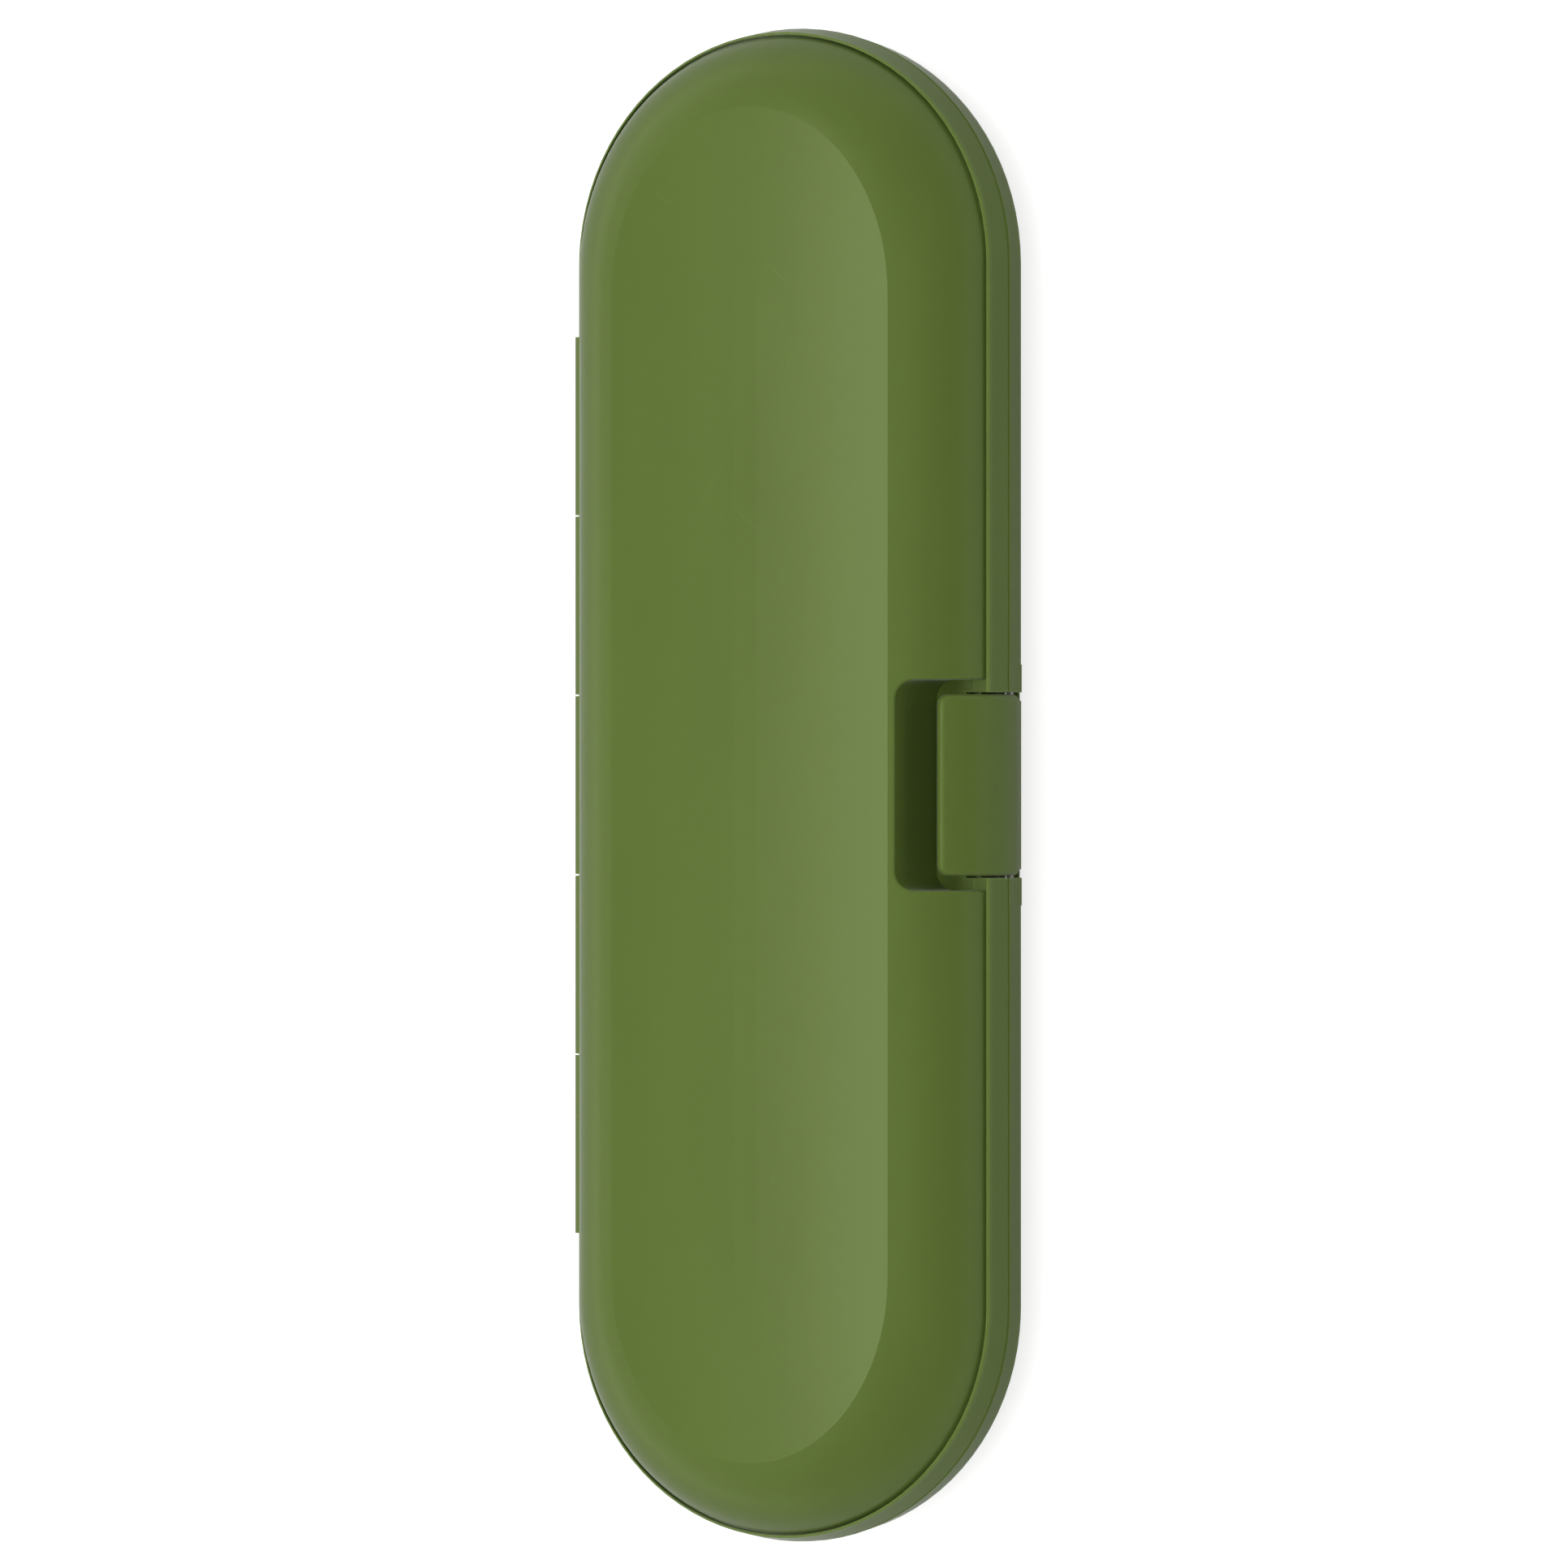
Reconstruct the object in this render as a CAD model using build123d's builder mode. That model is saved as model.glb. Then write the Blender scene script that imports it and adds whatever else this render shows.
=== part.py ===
from build123d import *
import os
from math import acos, asin, atan2, cos, degrees, hypot, radians, sin, tan

# Travel case for an electric toothbrush: two domed halves on a long barrel hinge, held shut by a clip.
# It lies on its base: +Z towards the lid, Y along the case, +X towards the clip, hinge at -X.
# Heights named "rise" are measured from the parting plane, away from it on either half.

os.makedirs("parts", exist_ok=True)

# Outline of the case, seen from above
case_length = 216.0
case_width = 67.5
parting_gap = 0.2  # between the two bands when shut

# Bands round the mouths of the two halves
band_height = 5.1
band_draft = 0.6  # how much narrower the band's far edge is, each side
band_wall = 2.25
band_edge_bevel = 0.25  # outer edges of the bands
seat_height = 3.9  # ledge that carries the dome
lip_wall = 0.35  # thin lip outside the dome's edge
groove_width = 0.15  # shadow line between the dome and the lip
flange_width = 1.5
flange_wall = 1.0
flange_height = 1.8
tongue_height = 1.0
tongue_wall = 0.8
tongue_gap = 0.12

# Domes
dome_wall = 1.5
flank_width = 10.35  # from the dome's edge in to the crease
crease_height = 15.3
flank_radius = 14.0
crease_end_stretch = 4.4  # the crease's ends reach this much further than a half circle
crown_rise = 1.2
foot_cut = 0.4  # taken off the base's crown to make a flat underside

# Hinge
hinge_end_margin = 9.95  # straight side left beyond each end of the hinge
hinge_proud = 0.35  # pin axis outside the band
knuckle_radius = 2.0
knuckle_count = 5
knuckle_gap = 0.2
knuckle_clearance = 0.25
hinge_pin_radius = 0.8
hinge_pin_recess = 0.6
press_clearance = 0.02
running_clearance = 0.06

# Clip
clip_width = 25.8
clip_wall = 1.7
clip_proud = 0.45  # how far its belly stands outside the band
clip_belly_rise = 0.5
clip_end_inset = 5.3  # its free end, in from the band
clip_end_drop = 0.4  # its free end, below the dome's surface
clip_corner_round = 1.6
clip_edge_round = 0.9
clip_barrel_radius = 1.9
clip_pivot_inset = 2.25
clip_pivot_drop = 4.0
latch_pin_radius = 0.8
latch_pin_grip = 3.0  # length of the pin held at each end
clip_side_gap = 0.3
barrel_clearance = 0.35
hook_width = 18.0
hook_inset = 5.15  # its nose, in from the band
hook_wall = 1.2
hook_rise = 3.9
hook_nose = 0.8
hook_drop = 0.7
catch_gap = 0.7  # between the hook's nose and the catch

# Pocket in the lid for a fingertip behind the clip
notch_width = 30.0
notch_inset = 10.55  # its back wall, in from the band
notch_corner_round = 2.75
notch_edge_round = 0.4
pocket_wall = 1.3
pocket_floor = 1.2
catch_wall = 1.0
catch_height = 2.0
land_width = 1.5  # step in the rim either side of the clip

# Latch housing in the base
housing_wall = 0.95
housing_floor = 0.95
seam_gap = 0.05  # between the housing and the base's dome

# Trays: a wide well for the handle on the hinge side, two small bays for brush heads beside it
tray_wall = 1.0
tray_drop = 0.8  # face of the tray, from the parting plane
tray_gap = 0.3
well_edge_round = 0.5
well_end_slope = 30.0  # degrees from upright
handle_well_margin = 5.2  # from the tray's edge, on the hinge side
handle_well_end_margin = 21.0  # from the case's end
well_floor_gap = 0.4  # between the well's floor and the shell
neck_channel_width = 12.0  # for the handle's shaft, at either end of its well
neck_channel_depth = 8.5
neck_channel_end_margin = 10.0  # from the case's end
well_rib = 3.5  # between the handle well and the head bays
head_bay_width = 17.0
head_bay_margin = 5.7  # from the tray's edge, on the clip side
head_bay_depth = 9.7
head_bay_end_margin = 22.0  # from the case's end
head_bay_rib = 12.0  # between the two bays in the base
lid_bay_gap = 2.4  # between a bay in the lid and the notch's walls

# Soft saddles in the handle wells
saddle_wall = 1.4
saddle_length = 16.0
saddle_spacing = 104.0
saddle_gap = 0.05

# Worked out from the above
base_depth = crease_height + crown_rise - foot_cut
parting_z = base_depth
half_straight = (case_length - case_width) / 2
band_radius = case_width / 2
lip_radius = band_radius - band_draft
mouth_radius = band_radius - band_wall
seat_radius = lip_radius - lip_wall
dome_radius = seat_radius - groove_width
crease_half_width = dome_radius - flank_width
half_gap = parting_gap / 2
hinge_length = 2 * (half_straight - hinge_end_margin)
hinge_offset = band_radius + hinge_proud

# Centre of the flank's arc, from the two points that it joins
chord_x = dome_radius - crease_half_width
chord_z = crease_height - seat_height
chord = hypot(chord_x, chord_z)
chord_normal = atan2(chord_x, chord_z)
half_sweep = asin(chord / 2 / flank_radius)
flank_end = chord_normal + half_sweep
flank_start = chord_normal - half_sweep
flank_centre_x = crease_half_width - flank_radius * cos(flank_end)
flank_centre_z = crease_height - flank_radius * sin(flank_end)

# Places of a dome's sections, as shares of its flank's arc and of its crown's half width
smooth_sections = ([0.0, 0.25, 0.5, 0.75, 1.0], [0.0, 0.3, 0.6, 0.92])
hidden_sections = ([0.0, 0.33, 0.67, 1.0], [0.0, 0.4, 0.92])


def flank_rise(x):
    """The rise of the dome's flank at a distance x from the middle of the case."""
    return flank_centre_z + flank_radius * sin(acos((x - flank_centre_x) / flank_radius))


def at_rise(rise, side):
    """The level plane at a rise from the parting plane: side is 1 in the lid and -1 in the base."""
    return Plane.XY.offset(parting_z + side * rise)


def round_ended(half_width, half_side, end_reach):
    """Two straight sides joined by half ellipses."""
    with BuildSketch() as outline:
        with BuildLine():
            Line((half_width, -half_side), (half_width, half_side))
            EllipticalCenterArc((0, half_side), half_width, end_reach, arc_size=180)
            Line((-half_width, half_side), (-half_width, -half_side))
            EllipticalCenterArc((0, -half_side), half_width, end_reach, start_angle=180, arc_size=180)
        make_face()
    return outline.sketch


def stadium(radius):
    """The case's outline at another radius."""
    return round_ended(radius, half_straight, radius)


def make_dome(side, inset, flank_shares, crown_shares, ruled):
    """A dome's solid, its flank and then its crown, set in from the outer surface by inset."""
    radius = flank_radius - inset
    crown_start = flank_centre_z + radius * sin(flank_end)
    crown_half_width = flank_centre_x + radius * cos(flank_end)
    end_ratio = 1 + crease_end_stretch / crown_half_width
    with BuildPart() as dome:
        for share in flank_shares:
            angle = flank_start + share * (flank_end - flank_start)
            half_width = flank_centre_x + radius * cos(angle)
            stretch = share * crease_end_stretch
            with BuildSketch(at_rise(flank_centre_z + radius * sin(angle), side)):
                add(round_ended(half_width, half_straight - stretch, half_width + stretch))
        loft(ruled=ruled)
        for share in crown_shares:
            half_width = crown_half_width * (1 - share)
            rise = crown_start + crown_rise * (1 - (1 - share) ** 2)
            with BuildSketch(at_rise(rise, side)):
                add(round_ended(half_width, half_straight - crease_end_stretch, half_width * end_ratio))
        loft(ruled=ruled)
    return dome.part


def knuckle_spans(first):
    """Start and end along Y of every second knuckle, from the given one."""
    pitch = hinge_length / knuckle_count
    starts = [-hinge_length / 2 + i * pitch for i in range(first, knuckle_count, 2)]
    return [(start + knuckle_gap / 2, start + pitch - knuckle_gap / 2) for start in starts]


def bar_along_y(x, z, radius, start, end, mode=Mode.ADD):
    """A round bar along Y."""
    with Locations((x, (start + end) / 2, z)):
        Cylinder(radius, end - start, rotation=(90, 0, 0), mode=mode)


def block(low, high, mode=Mode.ADD):
    """A square block between two corners."""
    size = [b - a for a, b in zip(low, high)]
    middle = tuple((a + b) / 2 for a, b in zip(low, high))
    with Locations(middle):
        Box(*size, mode=mode)


def make_band_outside(side):
    """The band's outer form: drafted, with its two outer edges bevelled."""
    levels = [
        (half_gap, band_radius - band_edge_bevel),
        (half_gap + band_edge_bevel, band_radius),
        (band_height - band_edge_bevel, lip_radius),
        (band_height, lip_radius - band_edge_bevel),
    ]
    with BuildPart() as outside:
        for rise, radius in levels:
            with BuildSketch(at_rise(rise, side)):
                add(stadium(radius))
        loft(ruled=True)
    return outside.part


def make_band(side):
    """The band of one half, with a seat for the dome and a flange for the tray."""
    with BuildPart() as band:
        add(make_band_outside(side))
        with BuildSketch(at_rise(0, side)):
            add(stadium(mouth_radius))
        extrude(amount=side * band_height, mode=Mode.SUBTRACT)
        with BuildSketch(at_rise(seat_height, side)):
            add(stadium(seat_radius))
        extrude(amount=side * band_height, mode=Mode.SUBTRACT)
        with BuildSketch(at_rise(flange_height, side)):
            add(stadium(mouth_radius + band_wall / 2))
            add(stadium(mouth_radius - flange_width), mode=Mode.SUBTRACT)
        extrude(amount=side * flange_wall)
    return band.part


def make_knuckles(side, own_first, other_first, bore_clearance):
    """Adds a half's own knuckles to its band and clears the room of the other half's."""
    for start, end in knuckle_spans(other_first):
        clear_radius = knuckle_radius + knuckle_clearance
        clear_start, clear_end = start - knuckle_gap, end + knuckle_gap
        bar_along_y(-hinge_offset, parting_z, clear_radius, clear_start, clear_end, Mode.SUBTRACT)
    for start, end in knuckle_spans(own_first):
        bar_along_y(-hinge_offset, parting_z, knuckle_radius, start, end)
        near, far = sorted([parting_z + side * half_gap, parting_z + side * knuckle_radius])
        block((-hinge_offset, start, near), (-mouth_radius - band_wall / 2, end, far))
    bore_radius = hinge_pin_radius + bore_clearance
    bar_along_y(-hinge_offset, parting_z, bore_radius, -hinge_length, hinge_length, Mode.SUBTRACT)


def make_trough(side, x, y, width, length, depth, growth):
    """A well below a tray's face, with a round bottom and sloping ends, larger all round by growth."""
    radius = width / 2 + growth
    middle_rise = tray_drop + depth - width / 2
    middle_z = parting_z + side * middle_rise
    face_z, floor_z = parting_z + side * tray_drop, parting_z + side * (tray_drop + depth + growth)
    half_mouth = length / 2 + growth / cos(radians(well_end_slope))
    half_floor = half_mouth - (depth + growth) * tan(radians(well_end_slope))
    with BuildPart() as trough:
        # The well's side view, from end to end, as wide as its mouth or its round bottom
        with BuildSketch(Plane.YZ.offset(x)):
            near_end = [(-half_mouth, face_z), (-half_floor, floor_z)]
            far_end = [(half_floor, floor_z), (half_mouth, face_z)]
            with Locations((y, 0)):
                Polygon(*near_end, *far_end, align=None)
        extrude(amount=radius, both=True)
        with BuildPart(mode=Mode.INTERSECT):
            bar_along_y(x, middle_z, radius, y - half_mouth, y + half_mouth)
            if middle_rise > tray_drop:
                low_z, high_z = sorted([face_z, middle_z])
                block((x - radius, y - half_mouth, low_z), (x + radius, y + half_mouth, high_z))
    return trough.part


# Shapes that several pieces are cut to --------------------------------------------------------

half_notch = notch_width / 2
notch_back_x = band_radius - notch_inset
half_opening = clip_width / 2 + clip_side_gap
clip_pivot_x = band_radius - clip_pivot_inset
hook_nose_x = band_radius - hook_inset
catch_x = hook_nose_x - catch_gap
pocket_top_rise = crease_height + crown_rise
pivot_z = parting_z - clip_pivot_drop
barrel_room = clip_barrel_radius + barrel_clearance
housing_back_x = clip_pivot_x - barrel_room - housing_wall
housing_bottom_z = pivot_z - barrel_room - housing_floor
half_housing = half_opening + latch_pin_grip + housing_wall
tray_radius = mouth_radius - tray_gap

lid_dome = make_dome(1, 0, *smooth_sections, ruled=False)
base_dome_whole = make_dome(-1, 0, *smooth_sections, ruled=False)
# The trays hide the hollows' surfaces, which are built from ruled strips
lid_hollow_form = make_dome(1, dome_wall, *hidden_sections, ruled=True)
base_hollow_form = make_dome(-1, dome_wall, *hidden_sections, ruled=True)
lid_band = make_band(1)
base_band = make_band(-1)

with BuildPart() as base_dome:
    add(base_dome_whole)
    split(bisect_by=Plane.XY, keep=Keep.TOP)

# The hollows run on past the dome's edge, so that they open its mouth
with BuildPart() as lid_hollow:
    add(lid_hollow_form)
    with BuildSketch(at_rise(seat_height - dome_wall, 1)):
        add(stadium(dome_radius - dome_wall))
    extrude(amount=2 * dome_wall)

with BuildPart() as base_hollow:
    add(base_hollow_form)
    with BuildSketch(at_rise(seat_height - dome_wall, -1)):
        add(stadium(dome_radius - dome_wall))
    extrude(amount=-2 * dome_wall)
    split(bisect_by=Plane.XY.offset(dome_wall), keep=Keep.TOP)

# Lid ------------------------------------------------------------------------------------------

# The walls round the finger notch end at the dome's outer surface and at the band's mouth
with BuildPart() as lid_inside:
    add(lid_dome)
    with BuildSketch(at_rise(tray_drop, 1)):
        add(stadium(tray_radius))
    extrude(amount=seat_height - tray_drop)

with BuildPart() as notch_walls:
    with BuildSketch(at_rise(tray_drop, 1)) as walls_outline:
        with Locations((notch_back_x - pocket_wall, 0)):
            Rectangle(case_width, notch_width + 2 * pocket_wall, align=(Align.MIN, Align.CENTER))
        fillet(walls_outline.vertices().group_by(Axis.X)[0], notch_corner_round + pocket_wall)
    extrude(amount=pocket_top_rise)
    add(lid_inside.part, mode=Mode.INTERSECT)

with BuildPart() as lid_shell:
    add(lid_dome)
    add(lid_hollow.part, mode=Mode.SUBTRACT)
    add(notch_walls.part)
    with BuildSketch(at_rise(tray_drop + pocket_floor, 1)) as notch_outline:
        with Locations((notch_back_x, 0)):
            Rectangle(case_width, notch_width, align=(Align.MIN, Align.CENTER))
        fillet(notch_outline.vertices().group_by(Axis.X)[0], notch_corner_round)
    extrude(amount=pocket_top_rise, mode=Mode.SUBTRACT)
    # Outside the catch the pocket has no floor behind the clip, so that the clip can hang down past it
    floor_z = parting_z + tray_drop + pocket_floor
    block((catch_x, -half_opening, parting_z), (case_width, half_opening, floor_z), Mode.SUBTRACT)
    catch_low = (catch_x - catch_wall, -hook_width / 2, floor_z)
    block(catch_low, (catch_x, hook_width / 2, floor_z + catch_height))
    # The notch's edges that lie on the dome's curved flank
    flank_edges = lid_shell.edges().filter_by(GeomType.BSPLINE)
    flank_edges = flank_edges.filter_by_position(Axis.Y, -half_notch, half_notch)
    fillet(flank_edges.filter_by_position(Axis.X, notch_back_x, dome_radius), notch_edge_round)
lid_shell.part.label = "lid_shell"
export_step(lid_shell.part, "parts/lid_shell.step")

with BuildPart() as lid_rim:
    add(lid_band)
    with BuildSketch(at_rise(0, 1)):
        add(stadium(mouth_radius + tongue_wall + tongue_gap))
    extrude(amount=tongue_height + tongue_gap, mode=Mode.SUBTRACT)
    make_knuckles(1, 1, 0, running_clearance)
    # Room for the notch's walls inside the band, and for the clip through it
    wall_room = half_notch + pocket_wall + tray_gap
    block((0, -wall_room, 0), (mouth_radius, wall_room, 2 * parting_z), Mode.SUBTRACT)
    block((0, -half_opening, 0), (case_width, half_opening, 2 * parting_z), Mode.SUBTRACT)
    # A step inside the band fills the corner between the notch's wall and the clip
    land_low_z, land_high_z = floor_z + seam_gap, parting_z + seat_height
    land_back_x, land_front_x = mouth_radius - land_width, mouth_radius + band_wall / 2
    for start, end in ((half_opening, half_notch - seam_gap), (seam_gap - half_notch, -half_opening)):
        block((land_back_x, start, land_low_z), (land_front_x, end, land_high_z))
lid_rim.part.label = "lid_rim"
export_step(lid_rim.part, "parts/lid_rim.step")

# The wells share the tray's width: the head bays keep theirs and the handle well takes the rest
handle_well_width = 2 * tray_radius - handle_well_margin - well_rib - head_bay_width - head_bay_margin
handle_well_x = handle_well_margin - tray_radius + handle_well_width / 2
handle_well_length = case_length - 2 * handle_well_end_margin
neck_channel_length = case_length - 2 * neck_channel_end_margin
handle_well_depth = base_depth - dome_wall - well_floor_gap - tray_wall - tray_drop
head_bay_x = tray_radius - head_bay_margin - head_bay_width / 2
bay_end_y = case_length / 2 - head_bay_end_margin
base_bay_start_y = head_bay_rib / 2
lid_bay_start_y = half_notch + pocket_wall + tray_gap + tray_wall + lid_bay_gap


def make_wells(side, bay_start_y, growth):
    """The forms of a tray's handle well with its channels, and its head bays, larger by growth."""
    handle_well = (handle_well_width, handle_well_length, handle_well_depth, growth)
    neck_channel = (neck_channel_width, neck_channel_length, neck_channel_depth, growth)
    head_bay = (head_bay_width, bay_end_y - bay_start_y, head_bay_depth, growth)
    bay_y = (bay_start_y + bay_end_y) / 2
    return [
        make_trough(side, handle_well_x, 0, *handle_well),
        make_trough(side, handle_well_x, 0, *neck_channel),
        make_trough(side, head_bay_x, -bay_y, *head_bay),
        make_trough(side, head_bay_x, bay_y, *head_bay),
    ]


def mouth_edges(tray, side):
    """The edges between a tray's face and its wells."""
    level_faces = tray.faces().filter_by(Axis.Z).group_by(Axis.Z)
    face = level_faces[0 if side > 0 else -1].sort_by(SortBy.AREA)[-1]
    return [edge for wire in face.inner_wires() for edge in wire.edges()]


with BuildPart() as lid_tray:
    with BuildSketch(at_rise(tray_drop, 1)):
        add(stadium(tray_radius))
    extrude(amount=tray_wall)
    wall_room = half_notch + pocket_wall + tray_gap
    wall_room_x = notch_back_x - pocket_wall - tray_gap
    block((wall_room_x, -wall_room, 0), (case_width, wall_room, 2 * parting_z), Mode.SUBTRACT)
    add(make_wells(1, lid_bay_start_y, tray_wall))
    add(make_wells(1, lid_bay_start_y, 0), mode=Mode.SUBTRACT)
    fillet(mouth_edges(lid_tray, 1), well_edge_round)
lid_tray.part.label = "lid_tray"
export_step(lid_tray.part, "parts/lid_tray.step")

# Base -----------------------------------------------------------------------------------------

with BuildPart() as base_outside:
    add(base_dome.part)
    with BuildSketch(at_rise(half_gap, -1)):
        add(stadium(band_radius))
    with BuildSketch(at_rise(band_height, -1)):
        add(stadium(lip_radius))
    loft(ruled=True)

# The block in the band that holds the clip's pin, following the base's outer surface
with BuildPart() as housing:
    block(
        (housing_back_x, -half_housing, housing_bottom_z),
        (case_width, half_housing, parting_z - half_gap),
    )
    add(base_outside.part, mode=Mode.INTERSECT)

with BuildPart() as base_rim:
    add(base_band)
    with BuildSketch(at_rise(half_gap, -1)):
        add(stadium(mouth_radius + tongue_wall))
        add(stadium(mouth_radius), mode=Mode.SUBTRACT)
    extrude(amount=half_gap + tongue_height)
    block(
        (housing_back_x, -half_housing, parting_z - half_gap),
        (case_width, half_housing, 2 * parting_z),
        Mode.SUBTRACT,
    )
    make_knuckles(-1, 0, 1, press_clearance)
    add(housing.part)
    # Room for the clip's barrel, for the plate above it and for its swing outwards
    bar_along_y(clip_pivot_x, pivot_z, barrel_room, -half_opening, half_opening, Mode.SUBTRACT)
    block(
        (clip_pivot_x - barrel_room, -half_opening, pivot_z),
        (case_width, half_opening, 2 * parting_z),
        Mode.SUBTRACT,
    )
    block(
        (clip_pivot_x, -half_opening, pivot_z - barrel_room),
        (case_width, half_opening, pivot_z),
        Mode.SUBTRACT,
    )
    pin_reach = half_opening + latch_pin_grip
    pin_hole_radius = latch_pin_radius + press_clearance
    bar_along_y(clip_pivot_x, pivot_z, pin_hole_radius, -pin_reach, pin_reach, Mode.SUBTRACT)
base_rim.part.label = "base_rim"
export_step(base_rim.part, "parts/base_rim.step")

with BuildPart() as base_shell:
    add(base_dome.part)
    add(base_hollow.part, mode=Mode.SUBTRACT)
    block(
        (housing_back_x - seam_gap, -half_housing - seam_gap, housing_bottom_z - seam_gap),
        (case_width, half_housing + seam_gap, parting_z),
        Mode.SUBTRACT,
    )
base_shell.part.label = "base_shell"
export_step(base_shell.part, "parts/base_shell.step")

with BuildPart() as base_tray:
    with BuildSketch(at_rise(tray_drop, -1)):
        add(stadium(tray_radius))
    extrude(amount=-tray_wall)
    block(
        (housing_back_x - tray_gap, -half_housing - tray_gap, 0),
        (case_width, half_housing + tray_gap, parting_z),
        Mode.SUBTRACT,
    )
    add(make_wells(-1, base_bay_start_y, tray_wall))
    add(make_wells(-1, base_bay_start_y, 0), mode=Mode.SUBTRACT)
    fillet(mouth_edges(base_tray, -1), well_edge_round)
base_tray.part.label = "base_tray"
export_step(base_tray.part, "parts/base_tray.step")

# Soft saddles ---------------------------------------------------------------------------------

with BuildPart() as saddle_slices:
    with Locations((0, -saddle_spacing / 2, parting_z), (0, saddle_spacing / 2, parting_z)):
        Box(case_width, saddle_length, 2 * parting_z)


def make_saddle_form(side, inset):
    """The handle well's form, set in from its walls."""
    handle_well = (handle_well_width, handle_well_length, handle_well_depth)
    return make_trough(side, handle_well_x, 0, *handle_well, -inset)


base_saddle_form = make_saddle_form(-1, saddle_gap)
base_saddle_hollow = make_saddle_form(-1, saddle_gap + saddle_wall)
lid_saddle_form = make_saddle_form(1, saddle_gap)
lid_saddle_hollow = make_saddle_form(1, saddle_gap + saddle_wall)

with BuildPart() as base_saddles:
    add(base_saddle_form)
    add(base_saddle_hollow, mode=Mode.SUBTRACT)
    add(saddle_slices.part, mode=Mode.INTERSECT)
base_saddles.part.label = "base_saddles"
export_step(base_saddles.part, "parts/base_saddles.step")

with BuildPart() as lid_saddles:
    add(lid_saddle_form)
    add(lid_saddle_hollow, mode=Mode.SUBTRACT)
    add(saddle_slices.part, mode=Mode.INTERSECT)
lid_saddles.part.label = "lid_saddles"
export_step(lid_saddles.part, "parts/lid_saddles.step")

# Clip and pins --------------------------------------------------------------------------------

# The clip's outer face is an arc through its free end that is furthest out at its belly
belly_z = parting_z + clip_belly_rise
clip_end_x = band_radius - clip_end_inset
arc_height = flank_rise(clip_end_x) - clip_end_drop - clip_belly_rise
arc_depth = clip_proud + clip_end_inset
clip_radius = (arc_depth**2 + arc_height**2) / (2 * arc_depth)
clip_centre_x = band_radius + clip_proud - clip_radius
clip_end_angle = atan2(arc_height, clip_end_x - clip_centre_x)
# Below the belly the arc runs on into the straight line that touches the barrel
to_pivot_x, to_pivot_z = clip_pivot_x - clip_centre_x, pivot_z - belly_z
tangent_turn = acos((clip_radius - clip_barrel_radius) / hypot(to_pivot_x, to_pivot_z))
clip_low_angle = atan2(to_pivot_z, to_pivot_x) + tangent_turn
touch_x = clip_pivot_x + clip_barrel_radius * cos(clip_low_angle)
touch_z = pivot_z + clip_barrel_radius * sin(clip_low_angle)

with BuildPart() as latch_clip:
    with BuildSketch(Plane.XZ):
        with BuildLine():
            sweep_angle = degrees(clip_end_angle - clip_low_angle)
            low_angle = degrees(clip_low_angle)
            outer = CenterArc((clip_centre_x, belly_z), clip_radius, low_angle, sweep_angle)
            inner = CenterArc((clip_centre_x, belly_z), clip_radius - clip_wall, low_angle, sweep_angle)
            Line(outer @ 0, inner @ 0)
            Line(outer @ 1, inner @ 1)
        make_face()
    extrude(amount=clip_width / 2, both=True)
    end_edges = latch_clip.edges().filter_by(Axis.Y, reverse=True).sort_by(Axis.Z)[-2:]
    fillet(end_edges, clip_corner_round)
    outer_face = latch_clip.faces().filter_by(GeomType.CYLINDER).sort_by(SortBy.AREA)[-1]
    round_edges = [edge for edge in outer_face.edges() if edge.center().Z > belly_z]
    fillet(round_edges, clip_edge_round)
    with BuildSketch(Plane.XZ):
        with BuildLine():
            Polyline(inner @ 0, (clip_pivot_x, pivot_z), (touch_x, touch_z), outer @ 0, close=True)
        make_face()
        with Locations((clip_pivot_x, pivot_z)):
            Circle(clip_barrel_radius)
    extrude(amount=clip_width / 2 - clip_edge_round, both=True)
    bore_radius = latch_pin_radius + running_clearance
    bar_along_y(clip_pivot_x, pivot_z, bore_radius, -clip_width, clip_width, Mode.SUBTRACT)
    hook_low_z = parting_z + hook_rise
    hook_root_x = clip_centre_x + clip_radius - clip_wall
    half_hook = hook_width / 2
    block((hook_nose_x, -half_hook, hook_low_z), (hook_root_x, half_hook, hook_low_z + hook_wall))
    nose_low_z = hook_low_z - hook_drop
    block((hook_nose_x, -half_hook, nose_low_z), (hook_nose_x + hook_nose, half_hook, hook_low_z))
latch_clip.part.label = "latch_clip"
export_step(latch_clip.part, "parts/latch_clip.step")

with BuildPart() as latch_pin:
    bar_along_y(clip_pivot_x, pivot_z, latch_pin_radius, -pin_reach, pin_reach)
latch_pin.part.label = "latch_pin"
export_step(latch_pin.part, "parts/latch_pin.step")

half_pin = hinge_length / 2 - hinge_pin_recess
with BuildPart() as hinge_pin:
    bar_along_y(-hinge_offset, parting_z, hinge_pin_radius, -half_pin, half_pin)
hinge_pin.part.label = "hinge_pin"
export_step(hinge_pin.part, "parts/hinge_pin.step")
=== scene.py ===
# %% [markdown]
# # A travel case for an electric toothbrush
# The case is two olive-green plastic halves on one long barrel hinge, held shut by a curved clip.
# Its solids come from the frame at their real size, in metres, so nothing here is fitted by eye.
# This lesson gives every part its finish, models the ribbed saddles, and lights and frames the case
# on a plain white floor.

# %% Load the frame
from math import acos, cos, hypot, pi, radians, sin

import bmesh
import bpy
from mathutils import Matrix, Vector


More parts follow.
